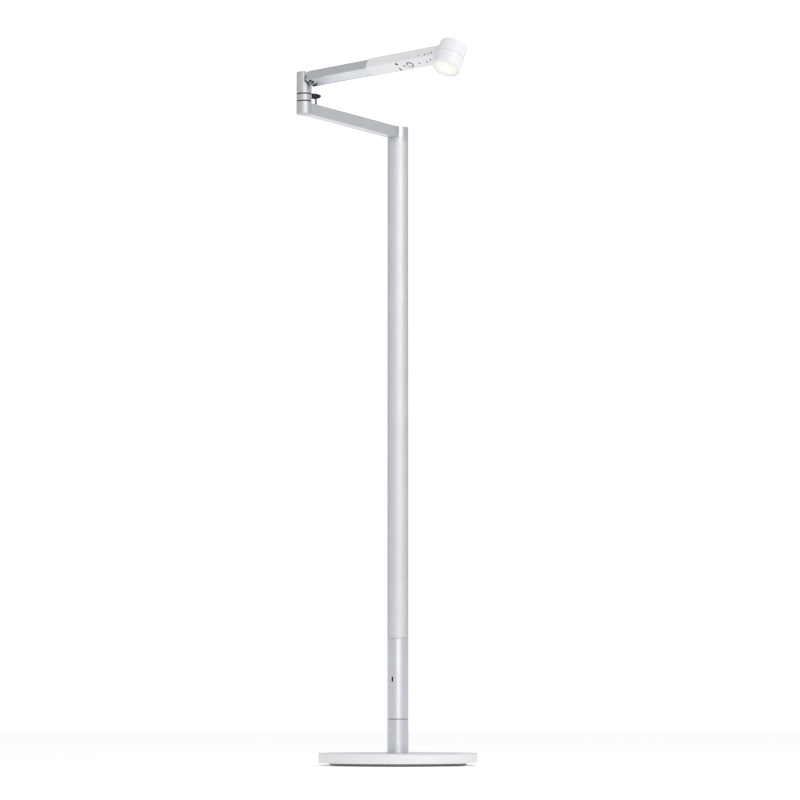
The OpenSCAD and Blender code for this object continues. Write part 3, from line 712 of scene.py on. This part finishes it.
# %% Hub and lower arm
softened("stem_hub", 0.35 * MM, elbow_silver)
softened("elbow_base", 0.4 * MM, elbow_silver)
beam_low, beam_high = LOWER.box("lower_arm_beam")
strip_low, strip_high = LOWER.box("lower_arm_cover")
arm_w, arm_h = beam_high[1] - beam_low[1], beam_high[2] - beam_low[2]
wall = (arm_w - (strip_high[1] - strip_low[1])) / 2
elbow_r = float(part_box("elbow_collar")[1].x - elbow_point[0])
beam_place = LOWER.shifted((0, 0, (beam_low[2] + beam_high[2]) / 2))
elbow_end = hub_end(LOWER_LENGTH, elbow_r)
STRIP_GAP = 0.15 * MM
beam = bar(channel(arm_w, arm_h, wall, wall, 1.4 * MM), straight_end(beam_low[0]),
           elbow_end, 0.25 * MM, beam_place)
add_piece("lower_arm", [beam], satin_silver, "column", ["lower_arm_beam"])
strip = bar(slab(arm_w - 2 * wall - STRIP_GAP, strip_low[2] + STRIP_GAP, strip_high[2], 0.25 * MM),
            straight_end(strip_low[0]), elbow_end, 0.2 * MM, LOWER)
# The strip's lighter silver is painted light from the floor below.
add_piece("lower_arm_strip", [strip], underside_grey,
          "column", ["lower_arm_cover"])
print("lower arm section and hub radius in mm:",
      np.round(np.array([arm_w, arm_h, elbow_r]) / MM, 1))

# %% [markdown]
# ## The elbow
# From below: the arm's round foot, a black washer, a metal collar, another washer, and a
# housing that turns. The housing has a flat that carries a pale plate, and a black neck
# comes out of that plate, so that the upper arm can roll. The stack is turned on a lathe
# in reality, so here it is turned too.

# %% Elbow
PIN_HOLE_R = 7 * MM
STACK = Place(elbow_point, (1, 0, 0), UP)
for node, edge, material in (("elbow_washer_lower", 0.5, seal_black),
                             ("elbow_collar", 0.45, elbow_silver),
                             ("elbow_washer_upper", 0.5, seal_black)):
    low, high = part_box(node)
    shell = ring(PIN_HOLE_R, (high.x - low.x) / 2, low.z, high.z, edge * MM, STACK)
    add_piece(node + "_turned", [shell], material, "column", [node])
softened("elbow_housing", 0.35 * MM, elbow_silver)
softened("elbow_cap", 0.4 * MM, elbow_silver)
softened("pivot_plate", 0.25 * MM, arm_white)
neck_low, neck_high = ARM.box("roll_neck")
neck_r = (neck_high[2] - neck_low[2]) / 2
ALONG = Place(ARM.origin, -ARM.axes[:, 2], ARM.axes[:, 0])
NECK_HOLE_R = 5.5 * MM
FOLDS = ((0, 0.5), (0.06, 0), (0.2, 0), (0.26, 0.8), (0.34, 0.8), (0.4, 0),
         (0.54, 0), (0.6, 0.8), (0.68, 0.8), (0.74, 0), (0.94, 0), (1, 0.5))
folds = [(neck_r - deep * MM, neck_low[0] + t * (neck_high[0] - neck_low[0])) for t, deep in FOLDS]
neck_profile = [(NECK_HOLE_R, neck_low[0])] + folds + [(NECK_HOLE_R, neck_high[0])]
add_piece("neck_turned", [turned(neck_profile, ALONG)], seal_black,
          "elbow", ["roll_neck"])

# %% [markdown]
# ## The cable between the arms
# A short cable leaves the top of the lower arm and goes into a soft black boot at the
# elbow. The boot is an outline seen from the side, rounded and given a soft thickness.

# %% Boot and cable
boot_low, boot_high = BACK.box("cable_boot")
b0, b1, z0, z1 = boot_low[0], boot_high[0], boot_low[2], boot_high[2]
BOOT_SIDE = np.array([(0.4, 0.18), (0.74, 0.32), (0.92, 0.57), (1, 0.8), (0.92, 0.94), (0.69, 1),
                      (0.3, 0.92), (0.05, 0.72), (0.03, 0.54), (0, 0.5), (0, 0)])
side_view = BOOT_SIDE * (b1 - b0, z1 - z0) + (b0, z0)
BOOT = Place(elbow_point, BACK.axes[:, 0], np.cross(BACK.axes[:, 0], UP))
boot_half = (boot_high[1] - boot_low[1]) / 2
boot_outline = rounded(side_view, 3 * MM, 5)
boot = prism(boot_outline, -boot_half, boot_half, edge=1.8 * MM, place=BOOT, steps=6)
add_piece("boot", [boot], seal_black, "column", ["cable_boot"], sharp=50)
cord_low, cord_high = LOWER.box("link_cable")
cord_r = (cord_high[1] - cord_low[1]) / 2
BEND, LEAD = 6 * MM, 1 * MM
run_z, rise_x = cord_low[2] + cord_r, cord_high[0] - cord_r
turn = np.linspace(0, math.pi / 2, 10)
level = np.linspace(cord_low[0], rise_x - BEND - LEAD, 12)
rise = np.linspace(run_z + BEND + LEAD, cord_high[2], 6)
along = np.concatenate([level, rise_x - BEND + BEND * np.sin(turn), np.full(len(rise), rise_x)])
up = np.concatenate([np.full(len(level), run_z), run_z + BEND - BEND * np.cos(turn), rise])
route = LOWER.out(np.column_stack([along, np.zeros(len(along)), up]))
sleeve = tube(route, cord_r, LOWER.axes[:, 1])
add_piece("link_cable_sleeve", [sleeve], cable_grey, "column",
          ["link_cable"])

# %% [markdown]
# ## The upper arm
# The arm is made of two shells end to end: a slim silver one at the elbow and a wider
# white one towards the light. Both are channels that open downwards, each closed by a
# flat strip, so the joints run as fine lines along the lower edges.

# %% Upper arm shells
softened("arm_root_block", 0.4 * MM, satin_silver)
rear_low, rear_high = ARM.box("rear_arm_shell")
front_low, front_high = ARM.box("front_arm_shell")
under_low, under_high = ARM.box("rear_arm_underside")
rear_w, rear_h = rear_high[1] - rear_low[1], rear_high[2] - rear_low[2]
front_w, front_h = front_high[1] - front_low[1], front_high[2] - front_low[2]
shell_wall = (rear_w - (under_high[1] - under_low[1])) / 2
drum_r = (drum_high[0] - drum_low[0]) / 2
SEAM = float(front_low[0])
rear = bar(channel(rear_w, rear_h, shell_wall, shell_wall, 1.6 * MM),
           straight_end(rear_low[0]), straight_end(SEAM), 0.3 * MM, ARM)
add_piece("rear_shell", [rear], satin_silver, "upper_arm", ["rear_arm_shell"])
strip = bar(slab(rear_w - 2 * shell_wall - STRIP_GAP, under_low[2] + STRIP_GAP, under_high[2],
                 0.25 * MM),
            straight_end(rear_low[0]), straight_end(SEAM), 0.2 * MM, ARM)
# The strip's lighter silver is painted light from the floor below.
add_piece("rear_strip", [strip], underside_grey,
          "upper_arm", ["rear_arm_underside"])
front = bar(channel(front_w, front_h, shell_wall, shell_wall, 1.8 * MM),
            straight_end(SEAM), hub_end(HEAD_OUT, drum_r), 0.3 * MM, ARM)
add_piece("front_shell", [front], arm_white, "upper_arm", ["front_arm_shell"])
softened("control_panel", 0.2 * MM, arm_white)
print("shell seam and widths in mm:", np.round(np.array([SEAM, rear_w, front_w]) / MM, 1))

# %% [markdown]
# ## Controls under the arm
# A push button with a dished face sits in a raised ring. Beside it are the window of a
# light sensor and the slot of a motion sensor, both slightly domed and glossy. A few
# small dots cover screws and indicator lamps.

# %% Button, ring and sensors
button_low, button_high = ARM.box("power_button")
button_mid = (button_low + button_high) / 2
BUTTON = ARM.shifted((button_mid[0], button_mid[1], 0))
FLANGE, FLANGE_H = 1.2 * MM, 0.7 * MM
DISH, RIM, RING_GAP = 0.35 * MM, 0.1 * MM, 0.3 * MM
flange_r = (button_high[0] - button_low[0]) / 2
button_r = flange_r - FLANGE
face_z, back_z = button_low[2], button_high[2]
dish = [(button_r * k, face_z + DISH * (1 - k**2)) for k in np.linspace(0, 0.9, 7)]
rim = [(button_r - RIM, face_z + RIM), (button_r, face_z + DISH)]
flange = [(button_r, back_z - FLANGE_H), (flange_r, back_z - FLANGE_H), (flange_r, back_z),
          (0, back_z)]
button = turned(dish + rim + flange, BUTTON, 64)
add_piece("button_dished", [button], arm_white, "button", ["power_button"])
ring_low, ring_high = ARM.box("button_ring")
ring_r = (ring_high[0] - ring_low[0]) / 2
surround = ring(button_r + RING_GAP, ring_r, ring_low[2], ring_high[2], 0.25 * MM, BUTTON, 64)
add_piece("button_surround", [surround], bezel_grey, "upper_arm",
          ["button_ring"])
eye_low, eye_high = ARM.box("light_sensor")
eye = (eye_low + eye_high) / 2
eye_r = (eye_high[0] - eye_low[0]) / 2
dome = [(eye_r * k, eye_low[2] + DISH * k**2) for k in np.linspace(0, 1, 7)]
window = turned(dome + [(eye_r, eye_high[2]), (0, eye_high[2])], ARM.shifted((eye[0], eye[1], 0)),
                48)
add_piece("light_window", [window], socket_black,
          "upper_arm", ["light_sensor"])
slot_low, slot_high = ARM.box("motion_sensor")
slot_mid, slot_size = (slot_low + slot_high) / 2, slot_high - slot_low
corners = np.array([(-0.5, -0.5), (0.5, -0.5), (0.5, 0.5), (-0.5, 0.5)]) * slot_size[:2]
SLOT = ARM.shifted((slot_mid[0], slot_mid[1], 0))
window = prism(rounded(corners, slot_size[0] * 0.45, 8), slot_low[2], slot_high[2], 0.3 * MM, SLOT)
add_piece("motion_window", [window], socket_black,
          "upper_arm", ["motion_sensor"])

# %% [markdown]
# ## Details at the root of the arm
# A rubber plug with a metal centre covers the screw that holds the roll joint. Beside it
# lies a curved black arc, painted shade for the dark crescent under the root of the arm.
# Its outline is an arc with a rounded top edge.

# %% Root plug and a crescent of painted shade
plug_low = ARM.box("root_plug")[0]
PLUG_R = 5 * MM
CRESCENT_IN, CRESCENT_OUT = 9.2 * MM, 11.8 * MM
PLUG = ARM.shifted((plug_low[0] + PLUG_R, plug_low[1] + PLUG_R, rear_low[2]))
plug_profile = np.array([(2.5, 1.0), (2.6, -1.1), (3.2, -1.4), (4.0, -1.2), (4.6, -0.8),
                         (5.0, -0.5), (5.0, 0), (3.0, 0), (3.0, 1.6), (2.5, 1.6)]) * MM
face_profile = np.array([(0, -1.0), (1.2, -1.0), (1.3, -0.5), (1.5, -0.5),
                         (1.6, -1.0), (2.5, -0.9), (2.5, 0), (0, 0)]) * MM
add_piece("plug_face", [turned(face_profile, PLUG, 48)], satin_silver, "upper_arm")
# Painted shade: a black arc laid where a crescent of shade falls beside the plug.
sweep = np.radians(np.linspace(45, 112, 15))
arc = np.column_stack([np.cos(sweep), np.sin(sweep)])
shade_crescent = prism(np.vstack([CRESCENT_OUT * arc, CRESCENT_IN * arc[::-1]]), plug_low[2] - rear_low[2], 0, 0.6 * MM,
            PLUG)
add_piece("root_plug_and_shade_crescent", [turned(plug_profile, PLUG, 48), shade_crescent], seal_black,
          "upper_arm", ["root_plug"])

# %% [markdown]
# ## The drum of light
# The drum is two turned shells: a cap, which holds the cooling fins, and a body, with a
# fine shadow groove between them. In the body's mouth lies a frosted lens in a narrow
# metal bezel. All of it is turned about the drum's axis.

# %% Drum, bezel and lens
cap_h = HEAD.box("head_cap")[1][2]
body_h = -HEAD.box("head_body")[0][2]
DRUM_WALL, LID = 2.2 * MM, 2 * MM
bore_r = drum_r - DRUM_WALL
lid_z = cap_h - LID
cap_corners = [(bore_r, 0), (drum_r, 0), (drum_r, cap_h),
               (bore_r / 2, cap_h), (bore_r / 2, lid_z), (bore_r, lid_z)]
cap_profile = rounded(cap_corners, np.array([0.2, 0.3, 1.9, 0, 0, 1]) * MM, 6)
top = [i for i, (r, z) in enumerate(cap_profile) if abs(r - bore_r / 2) < 1e-9]
cap_profile = np.vstack([cap_profile[: top[0] + 1], [(0, cap_h), (0, lid_z)],
                         cap_profile[top[-1]:]])
add_piece("drum_cap", [turned(cap_profile, HEAD, 128)], head_white, "upper_arm",
          ["head_cap"])
GROOVE_DEPTH = 0.9 * MM
groove_in, groove_z = drum_r - GROOVE_DEPTH, -GROOVE_DEPTH
body_corners = [(bore_r, -body_h), (drum_r, -body_h), (drum_r, groove_z),
                (groove_in, groove_z), (groove_in, 0), (bore_r, 0)]
body_profile = rounded(body_corners, np.array([0.1, 0.9, 0.25, 0.1, 0.1, 0.1]) * MM, 5)
add_piece("drum_body", [turned(body_profile, HEAD, 128)], head_white, "upper_arm",
          ["head_body"])
lens_low, lens_high = HEAD.box("lens")
lens_r = (lens_high[0] - lens_low[0]) / 2
bezel_profile = [(lens_r, lens_high[2]), (lens_r, -body_h + 0.9 * MM),
                 (lens_r + 0.7 * MM, -body_h + 0.1 * MM), (lens_r + 1.2 * MM, -body_h),
                 (bore_r, -body_h + 0.15 * MM), (bore_r, lens_high[2])]
add_piece("lens_ring", [turned(bezel_profile, HEAD, 128)], head_white, "upper_arm",
          ["lens_bezel"])
LENS_DOME = 0.9 * MM
lens_face = [(lens_r * k, lens_low[2] + LENS_DOME * k**2.5) for k in np.linspace(0, 1, 16)]
lens = turned(lens_face + [(lens_r, lens_high[2]), (0, lens_high[2])], HEAD, 128)
add_piece("lens_frosted", [lens], lens_warm, "upper_arm", ["lens"])
print("drum radius and heights in mm:", np.round(np.array([drum_r, cap_h, body_h]) / MM, 1))

# %% [markdown]
# ## Floor and light
# The floor is a large pale sheet. The room is brighter in front of the lamp than behind
# and beside it, which is what gives a satin tube its bright middle and darker sides. A
# wide soft panel above and in front adds a gentle direction. What the camera sees of the
# room itself is plain white.

# %% Floor
FLOOR_REACH = 9
floor_corners = np.array([(-1, -1, 0), (1, -1, 0), (1, 1, 0), (-1, 1, 0)], float) * FLOOR_REACH
floor_mesh = mesh_from("floor", floor_corners, np.array([[0, 1, 2, 3]]))
floor = bpy.data.objects.new("floor", floor_mesh)
bpy.context.scene.collection.objects.link(floor)
floor_paint, floor_tree, floor_surface, floor_place = shader("floor_paint", Roughness=0.9,
                                                             Emission_Strength=0.35)
floor_tones = ramp(floor_tree, noise(floor_tree, floor_place, 3, 3),
                   [(0.3, grey(0.86)), (0.7, grey(0.88))])
floor_tree.links.new(floor_tones, floor_surface.inputs["Base Color"])
floor_surface.inputs["Emission Color"].default_value = (1, 1, 1, 1)
floor_mesh.materials.append(floor_paint)

# %% Room and lamps
ROOM_SIDES = 0.82
ROOM_FRONT = 1.45
FRONT_WIDTH = 16
ROOM_TOP = -0.22
FRONT_AIM = unit((0.10, -1, 0.02))
SEEN_WHITE = 1.2

world = bpy.data.worlds.new("studio")
bpy.context.scene.world = world
world.use_nodes = True
sky = world.node_tree
sky_background = sky.nodes["Background"]
direction = sky.nodes.new("ShaderNodeTexCoord")
parts = sky.nodes.new("ShaderNodeSeparateXYZ")
sky.links.new(direction.outputs["Generated"], parts.inputs["Vector"])
facing = sky.nodes.new("ShaderNodeVectorMath")
facing.operation = "DOT_PRODUCT"
facing.inputs[1].default_value = tuple(FRONT_AIM)
sky.links.new(direction.outputs["Generated"], facing.inputs[0])


def sky_math(operation, a, b):
    """One sum or product of two sky values."""
    node = sky.nodes.new("ShaderNodeMath")
    node.operation = operation
    for socket, value in zip(node.inputs, (a, b)):
        if isinstance(value, (int, float)):
            socket.default_value = value
        else:
            sky.links.new(value, socket)
    return node.outputs["Value"]


toward_front = sky_math("POWER", sky_math("MAXIMUM", facing.outputs["Value"], 0), FRONT_WIDTH)
toward_top = sky_math("MAXIMUM", parts.outputs["Z"], 0)
front_light = sky_math("MULTIPLY", toward_front, ROOM_FRONT)
top_light = sky_math("MULTIPLY", toward_top, ROOM_TOP)
room = sky_math("ADD", sky_math("ADD", front_light, top_light), ROOM_SIDES)
seen = sky.nodes.new("ShaderNodeLightPath")
seen_or_lit = sky_math("MAXIMUM", room,
                       sky_math("MULTIPLY", seen.outputs["Is Camera Ray"], SEEN_WHITE))
sky.links.new(seen_or_lit, sky_background.inputs["Strength"])
sky_background.inputs["Color"].default_value = (1, 1, 1, 1)


def soft_panel(name, place, aim, size, power):
    """A square area light that faces a point."""
    data = bpy.data.lights.new(name, "AREA")
    data.size = size
    data.energy = power
    panel = bpy.data.objects.new(name, data)
    panel.location = place
    away = Place(place, np.cross(UP, np.subtract(place, aim)), np.subtract(place, aim))
    panel.rotation_euler = Matrix(away.axes.tolist()).to_euler()
    bpy.context.scene.collection.objects.link(panel)
    return panel


soft_panel("front_panel", (2.2, -3.0, 2.4), aim=(0, 0, 0.9), size=2.2, power=32)
bpy.context.scene.view_settings.view_transform = "Standard"
print("room brightness, front and sides:", ROOM_SIDES + ROOM_FRONT, ROOM_SIDES)
